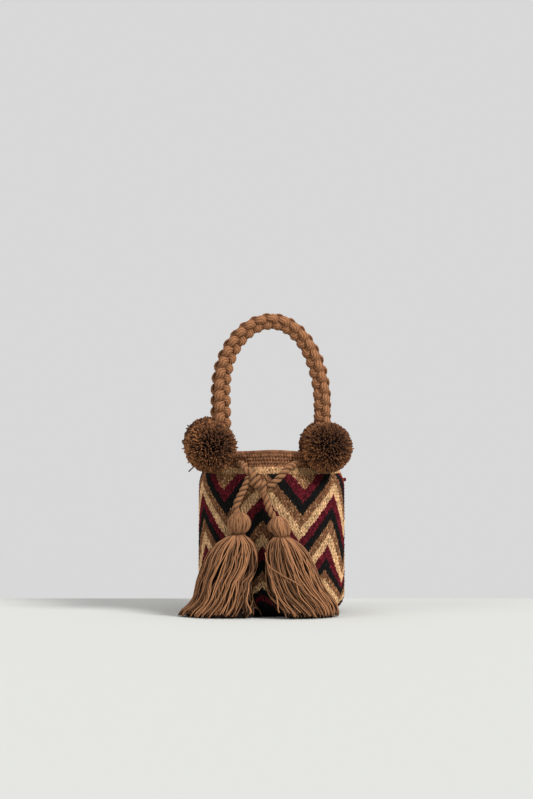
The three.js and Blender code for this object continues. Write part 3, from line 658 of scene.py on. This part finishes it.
# edges: the share of the way down, and how far the skirt reaches to the left and to the right there
tasselSettings = {
    "neckRadius": 8.8, "wrap": 200.0, "seed": 31, "yarnRadius": 0.66, "colours": ("#1c0d06", "#bc845b"),
    "headYarns": 96, "headTint": (0.26, 0.86),
    "perLayer": 44, "layers": 10, "rows": 30, "locks": 19, "lockPull": 0.6, "sweep": 0.45,
    "wander": ((0.02, 5), (0.045, 4), (0.018, 11), (0.005, 27)), "footDepth": 21.0,
    "skirtTint": (0.1, 1.1), "strayTint": 0.65, "coreWidth": 0.8, "coreDepth": 0.55,
    "left": {"headRadius": 14.2, "head": (-38, -95, 110.6), "neck": (-40.5, -94.5, 96.5),
             "cordEntry": (-38.5, -94.5, 117.0),
             "edges": [(0, -8.8, 8.8), (0.04, -15.5, 14.5), (0.11, -25, 21), (0.2, -33, 23.7),
                       (0.28, -37.5, 24.3), (0.37, -41.1, 24), (0.47, -44.7, 20.5), (0.57, -48, 15.8),
                       (0.77, -52, 18.3), (0.86, -58, 22), (0.93, -66, 27), (1, -70, 29)],
             "stray": [(-62, -100, 74), (-76, -94, 52), (-87, -88, 34), (-92, -84, 23), (-96, -82, 14)]},
    "right": {"headRadius": 13.4, "head": (8.2, -101, 106.8), "neck": (11.7, -100, 94.6),
              "cordEntry": (7.0, -100.5, 113.0),
              "edges": [(0, -8.8, 8.8), (0.05, -14, 16.5), (0.09, -16.4, 22), (0.15, -17.5, 27.5),
                        (0.24, -18.5, 33.3), (0.37, -18.7, 39.4), (0.52, -18.2, 45.2), (0.66, -16.5, 52),
                        (0.76, -14, 59.5), (0.85, -9, 65.5), (0.94, -4, 67.4), (1, -2, 67)],
              "stray": [(-7.6, -108, 77.8), (-5.2, -113, 67.4), (-0.6, -116, 60.4), (6.4, -117.5, 55.7),
                        (15.7, -118, 49.9), (25, -117, 45.3), (33.2, -115, 39.4)]},
}


def mouthLine():
    # The drawstring's run: in and out of the rim band by the hyperbolic tangent of a sine of the
    # bearing. The two front eyelets stand further apart than the rest.
    s = cordSettings
    height = bagHeight - s["eyeletDepth"]
    evenRun = 360 - 360 / s["eyelets"]
    share = (360 - 2 * s["frontHalf"]) / evenRun
    past = np.linspace(-2.5, evenRun + 2.5, 420)
    swing = np.tanh(3 * np.sin(np.radians(past) * s["eyelets"] / 2)) / np.tanh(3)
    weave = bagShape["wall"] / 2 + clearance + s["weave"]
    distance = outsideAt(height) - bagShape["wall"] / 2 - weave * swing
    return around(s["eyeletTurn"] - s["frontHalf"] - past * share, distance, height)


def knotStretch(startAngle):
    # One cord's stretch in the half knot: it winds round the knot's axis, opposite the other cord
    s = cordSettings
    start, end = np.array(s["knotStart"]), np.array(s["knotEnd"])
    ahead = unit(end - start)
    front = np.array([0.0, -1.0, 0.0])
    up = np.cross(ahead, front)
    up = up if up[2] > 0 else -up
    share = np.linspace(0, 1, 13)[:, None]
    angle = startAngle + 2 * np.pi * s["knotTurns"] * share
    return start + (end - start) * share + s["knotRadius"] * (up * np.cos(angle) + front * np.sin(angle))


def drawstringRoutes():
    # Each free end starts at the mouth run and ends in its tassel, the left one in the right tassel
    run = mouthLine()
    first, last = unit(run[0] - run[1]), unit(run[-1] - run[-2])
    left = [run[0] + clearance * first, run[0] + 3 * first, (-32.5, -77.5, 179), (-30.5, -86.5, 173.5),
            *knotStretch(0), (-6.5, -95, 141), (-4, -97, 131), (1, -99, 121.5),
            tasselSettings["right"]["cordEntry"]]
    right = [run[-1] + clearance * last, run[-1] + 3 * last, (23.5, -80.5, 178.5), (17.5, -88, 174),
             (9, -93, 164.5), (1, -94, 157.5), *knotStretch(np.pi)[::-1], (-31, -94, 155), (-36, -95, 145),
             (-41, -95.5, 134), (-42, -95, 124.5), tasselSettings["left"]["cordEntry"]]
    return run, splineThrough(left), splineThrough(right)


def pliedCord(line):
    # Plies wound round the line at a fixed pitch, each a tube with ridges for its yarns
    s = cordSettings
    count = max(8, int(lengthOf(line) / s["step"]))
    line = evenly(line, count)
    ahead, side, over = carriedFrame(line[None])
    distance = np.linspace(0, lengthOf(line), count)
    facing = 2 * np.pi * np.arange(s["sides"]) / s["sides"]
    wave = np.cos(s["yarns"] * facing[None] + s["yarnTurn"] * distance[:, None])
    ridge = 1 + s["ridge"] * wave
    section = (np.cos(facing) * ridge, np.sin(facing) * ridge)
    shapes = []
    for ply in range(s["plies"]):
        angle = 2 * np.pi * (distance / s["pitch"] + ply / s["plies"])
        out = np.cos(angle)[:, None] * side[0] + np.sin(angle)[:, None] * over[0]
        path = line + s["plyOffset"] * out
        shape = tubesAlong(path[None], s["plyRadius"], s["sides"], 0.5, section)
        # Painted shade: each ply is darker where it faces the other ply and between its yarns
        fromPath = shape["points"].reshape(count, s["sides"], 3) - path[:, None]
        outward = (fromPath * out[:, None]).sum(-1) / s["plyRadius"]
        tint = np.clip(0.4 + 0.6 * outward, 0, 1) * (0.8 + 0.2 * wave)
        shape["pointValues"]["tint"] = tint.ravel()
        shapes.append(shape)
    return joined(shapes)


def makeTasselHead(side):
    # Folded yarns run over a ball from its top to the neck, side by side, with a ball inside
    s, t = tasselSettings, tasselSettings[side]
    draw = np.random.default_rng(s["seed"] + len(side))
    head, neck, radius = np.array(t["head"], float), np.array(t["neck"], float), t["headRadius"]
    count = s["headYarns"]
    share = np.linspace(0, 1, 16)[None]
    top = np.radians(9)  # where the yarns start, from the ball's pole
    fall = top + (np.pi - top - np.arcsin(s["neckRadius"] * 0.9 / radius)) * share
    turn = 2 * np.pi * (np.arange(count)[:, None] + draw.uniform(-0.4, 0.4, (count, 1))) / count
    turn = turn + 0.25 * (share - 0.5) + 0.05 * np.sin(3 * np.pi * share + draw.uniform(0, 6, (count, 1)))
    reach = (radius - s["yarnRadius"]) * (1 + draw.uniform(-0.03, 0.02, (count, 1)))
    paths = np.stack([reach * np.sin(fall) * np.cos(turn), reach * np.sin(fall) * np.sin(turn),
                      reach * np.cos(fall)], axis=-1) + head
    lean = np.clip(-np.cos(fall), 0, 1)[..., None] * (neck - head) * [1, 1, 0]
    yarns = tubesAlong(paths + lean, s["yarnRadius"] * 1.1, 5, draw.uniform(*s["headTint"], count))
    # The ball inside is in the dark colour: painted shade seen between the yarns
    return joined([yarns, ballShape(head, radius - 1.5, 0.0)])


def makeTasselSkirt(side):
    # Yarns fall from the neck to the floor inside the skirt's outline, in layers from the back to the
    # front. Each wanders, and is drawn towards the middle of its lock, so that dark gaps open.
    s, t = tasselSettings, tasselSettings[side]
    draw = np.random.default_rng(s["seed"] + 5 + len(side))
    neck = np.array(t["neck"], float)
    perLayer, layers = s["perLayer"], s["layers"]
    rows, locks = s["rows"], s["locks"]
    count = perLayer * layers
    layer = np.repeat(np.arange(layers), perLayer)
    across = (np.tile(np.arange(perLayer), layers) + draw.uniform(0.05, 0.95, count)) / perLayer
    depth = np.clip(2 * layer / (layers - 1) - 1 + draw.normal(0, 0.1, count), -1.05, 1)
    lockPlace = (np.arange(locks) + draw.uniform(0.2, 0.8, locks)) / locks
    lock = np.abs(across[:, None] - lockPlace).argmin(1)
    down = np.linspace(0, 1, rows)[None] * draw.uniform(0.92, 1.0, count)[:, None]
    edges = np.array(t["edges"], float)
    left, right = (np.interp(down, edges[:, 0], edges[:, k]) for k in (1, 2))
    ownStarts = draw.uniform(0, 6.3, (3, count, 1))
    starts = [draw.uniform(0, 6.3, locks)[lock][:, None], *ownStarts]  # the first is the lock's
    wander = sum(size * np.sin(waves * down + start) for (size, waves), start in zip(s["wander"], starts))
    pull = draw.uniform(0, s["lockPull"], locks)[lock] * (lockPlace[lock] - across)
    pull = pull[:, None] * np.sin(np.pi * down)
    place = np.clip(across[:, None] + wander * np.minimum(1, 5 * down) + pull, 0, 1)
    # Lower down the threads sweep outwards, away from the other tassel, by a power of their place
    place = place if side == "right" else 1 - place
    place = place ** (1 - s["sweep"] * down ** 2)
    place = place if side == "right" else 1 - place
    x = neck[0] + left + (right - left) * place
    halfDepth = s["neckRadius"] + (s["footDepth"] - s["neckRadius"]) * np.sqrt(down)
    # The skirts' sides that face each other are upright, the others round
    inwards = (2 * place - 1) * (1 if side == "left" else -1)
    bulge = np.sqrt(np.clip(1 - np.abs(inwards) ** np.where(inwards > 0, 14, 3), 0.05, 1))
    y = (neck[1] + 4 * down + halfDepth * bulge * depth[:, None]
         + np.minimum(down * 8, 1) * (x - neck[0]) ** 2 / s["wrap"])
    z = neck[2] * (1 - down) + 1.0
    paths = np.stack([x, y, z], axis=-1)
    stray = evenly(splineThrough(t["stray"]), rows)
    paths = np.concatenate([paths, stray[None]])
    distance = np.hypot(paths[..., 0], paths[..., 1])
    wall = outsideAt(np.clip(paths[..., 2], 0, bagHeight)) + 1.0
    paths[..., :2] *= np.maximum(wall / np.maximum(distance, 1), 1)[..., None]
    front = np.clip(-depth, 0, 1)  # the yarns further back in the bundle are in its shade
    tint = np.clip((0.08 + 0.92 * front ** 2) * draw.uniform(*s["skirtTint"], count), 0, 1)
    yarns = tubesAlong(paths, s["yarnRadius"], 5, np.append(tint, s["strayTint"]))
    # The bundle's middle, too dense to see into: ovals from the neck to the floor in the dark colour,
    # painted shade
    share = np.linspace(0.02, 0.99, 24)
    left, right = (np.interp(share, edges[:, 0], edges[:, k]) for k in (1, 2))
    coreDepth = s["coreDepth"] * np.interp(share, down[0] / down[0, -1], halfDepth[0])
    reach = np.stack([s["coreWidth"] * (right - left) / 2, coreDepth], axis=1)
    turn = 2 * np.pi * np.arange(20) / 20
    x = neck[0] + (left + right)[:, None] / 2 + reach[:, :1] * np.cos(turn)
    y = neck[1] + 4 * share[:, None] + reach[:, 1:] * np.sin(turn) + (x - neck[0]) ** 2 / s["wrap"]
    z = neck[2] * (1 - share)[:, None] + 0 * x
    number = np.arange(x.size).reshape(x.shape)
    turned = np.roll(number, -1, axis=1)
    quads = np.stack([number[:-1], number[1:], turned[1:], turned[:-1]], axis=-1).reshape(-1, 4)
    core = {"points": np.stack([x, y, z], axis=-1).reshape(-1, 3),
            "faces": [quads, number[-1:], number[:1, ::-1]],
            "pointValues": {"tint": np.zeros(x.size), "along": np.zeros(x.size)}}
    return joined([yarns, core])


wrapSettings = {
    "space": 0.9, "turns": 3.3, "yarnRadius": 0.75, "closeness": 0.92, "tint": 0.25,
    "colours": ("#4a2d1a", "#986845"),
}


def makeNeckWrap(side):
    # A yarn wound round a tassel's neck: a helix whose turns lie side by side
    s = wrapSettings
    radius, yarn, turns = tasselSettings["neckRadius"] + s["space"], s["yarnRadius"], s["turns"]
    angle = np.linspace(0, 2 * np.pi * turns, int(40 * turns))
    rise = (angle / (2 * np.pi) - turns / 2) * 2 * yarn * s["closeness"]
    path = np.stack([radius * np.cos(angle), radius * np.sin(angle), rise], axis=1)
    return tubesAlong((path + tasselSettings[side]["neck"])[None], yarn, 8, s["tint"])


# A yarn's end, which stands out of the wall at the right
yarnEndSettings = {
    "place": (bagRadius + 0.3, 3.0, 158.8), "radius": 2.3, "tint": 0.4, "rings": 8, "columns": 10,
    "colours": ("#3a0d18", "#7a1c2e"),
}


stageSettings = {"floor": "#d2d3cf", "roughness": 0.9, "specular": 0.05, "reach": 6.0, "back": 0.209}


def makeStage():
    # A pale floor that ends behind the object. Its sizes are in metres.
    s = stageSettings
    material, tree = newMaterial("paleFloor")
    surface = addNode(tree, "ShaderNodeBsdfPrincipled", None, {
        "Base Color": shade(s["floor"]), "Roughness": s["roughness"],
        "Specular IOR Level": s["specular"]})
    addNode(tree, "ShaderNodeOutputMaterial", None, {"Surface": surface.outputs["BSDF"]})
    reach, back = s["reach"], s["back"]
    corners = [(-reach, -reach, 0), (reach, -reach, 0), (reach, back, 0), (-reach, back, 0)]
    mesh = bpy.data.meshes.new("floor")
    mesh.from_pydata(corners, [], [(0, 1, 2, 3)])
    mesh.materials.append(material)
    floor = bpy.data.objects.new("floor", mesh)
    bpy.context.scene.collection.objects.link(floor)


# Where each lamp shines from, how wide it looks in degrees, and its strength
lightSettings = {
    "key": {"from": (2.0, -1.8, 2.05), "softness": 18.0, "strength": 2.95},
    "fill": {"from": (-2.4, -1.6, 1.65), "softness": 34.0, "strength": 0.62},
    "top": {"from": (0.0, -0.1, 2.85), "softness": 42.0, "strength": 0.9},
    "world": {"colour": "#ffffff", "strength": 0.27, "seen": "#d8d8d8"},
}


def makeLights():
    for name in ("key", "fill", "top"):
        s = lightSettings[name]
        data = bpy.data.lights.new(name, "SUN")  # far lamps, so that the floor is lit evenly
        data.energy, data.angle = s["strength"], math.radians(s["softness"])
        lamp = bpy.data.objects.new(name, data)
        lamp.location = s["from"]
        lamp.rotation_euler = Vector(s["from"]).to_track_quat("Z", "Y").to_euler()
        bpy.context.scene.collection.objects.link(lamp)
    world = bpy.data.worlds.new("softRoom")
    world.use_nodes = True
    world.node_tree.nodes.clear()
    s = lightSettings["world"]
    tree = world.node_tree
    glow = addNode(tree, "ShaderNodeBackground", None, {
        "Color": shade(s["colour"]), "Strength": s["strength"]})
    even = addNode(tree, "ShaderNodeBackground", None, {"Color": shade(s["seen"]), "Strength": 1.0})
    light = addNode(tree, "ShaderNodeLightPath")
    glossy = addNode(tree, "ShaderNodeMath", {"operation": "MAXIMUM"}, {
        0: light.outputs["Is Camera Ray"], 1: light.outputs["Is Glossy Ray"]})
    seen = addNode(tree, "ShaderNodeMath", {"operation": "MAXIMUM"}, {
        0: glossy.outputs["Value"], 1: light.outputs["Is Transmission Ray"]})
    mixed = addNode(tree, "ShaderNodeMixShader", None, {
        0: seen.outputs["Value"], 1: glow.outputs["Background"], 2: even.outputs["Background"]})
    addNode(tree, "ShaderNodeOutputWorld", None, {"Surface": mixed.outputs["Shader"]})
    bpy.context.scene.world = world
    bpy.context.scene.view_settings.view_transform = "Standard"


makeStage()
makeLights()
print("stage and lights placed")

cordYarn = yarnMaterial("cottonCord", *cordSettings["colours"])
tasselYarn = yarnMaterial("tasselCotton", *tasselSettings["colours"])
wrapYarn = yarnMaterial("wrapCotton", *wrapSettings["colours"])
run, leftLine, rightLine = drawstringRoutes()
newPiece("mouthCord", pliedCord(run), cordYarn, ["drawstring_mouth_run"])
for name, line, node, side in (("leftCord", leftLine, "drawstring_left_end", "right"),
                               ("rightCord", rightLine, "drawstring_right_end", "left")):
    cord = newPiece(name, pliedCord(line), cordYarn, [node])
    head = newPiece(f"{side}TasselHead", makeTasselHead(side), tasselYarn,
                    [f"tassel_{side}"])
    skirt = newPiece(f"{side}TasselSkirt", makeTasselSkirt(side), tasselYarn)
    wrap = newPiece(f"{side}NeckWrap", makeNeckWrap(side), wrapYarn,
                    [f"tassel_neck_wrap_{side}"])
print("drawstring and tassels made")

bodyCrochet = crochetMaterial("tapestryCrochet")
newPiece("crochetedBody", makeCrochetedBody(), bodyCrochet, ["crocheted_body"])
print("body made")

braidYarn = yarnMaterial("braidCotton", *handleSettings["colours"])
for k, shape in enumerate(makeHandleStrands()):
    newPiece(f"handleStrand{k + 1}", shape, braidYarn, ["handle_braid"] if k == 0 else ())
print("handle made")

s = pompomSettings
pompomYarn = yarnMaterial("pompomCotton", *s["colours"], root=s["rootShade"])
for side in s["balls"]:
    newPiece(f"{side}Pompom", makePompom(side), pompomYarn, [f"pompom_{side}"])
print("pompoms made")

s = yarnEndSettings
endYarn = yarnMaterial("burgundyCotton", *s["colours"])
endBall = ballShape(np.array(s["place"]), s["radius"], s["tint"], s["rings"], s["columns"])
newPiece("yarnEnd", endBall, endYarn)

bindingYarn = yarnMaterial("bindingCotton", "#2c1a10", "#5a3a27")
for name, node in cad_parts.items():
    if "stitches" in name or "tie" in name or "whipping" in name:
        node.data.materials.clear()
        node.data.materials.append(bindingYarn)
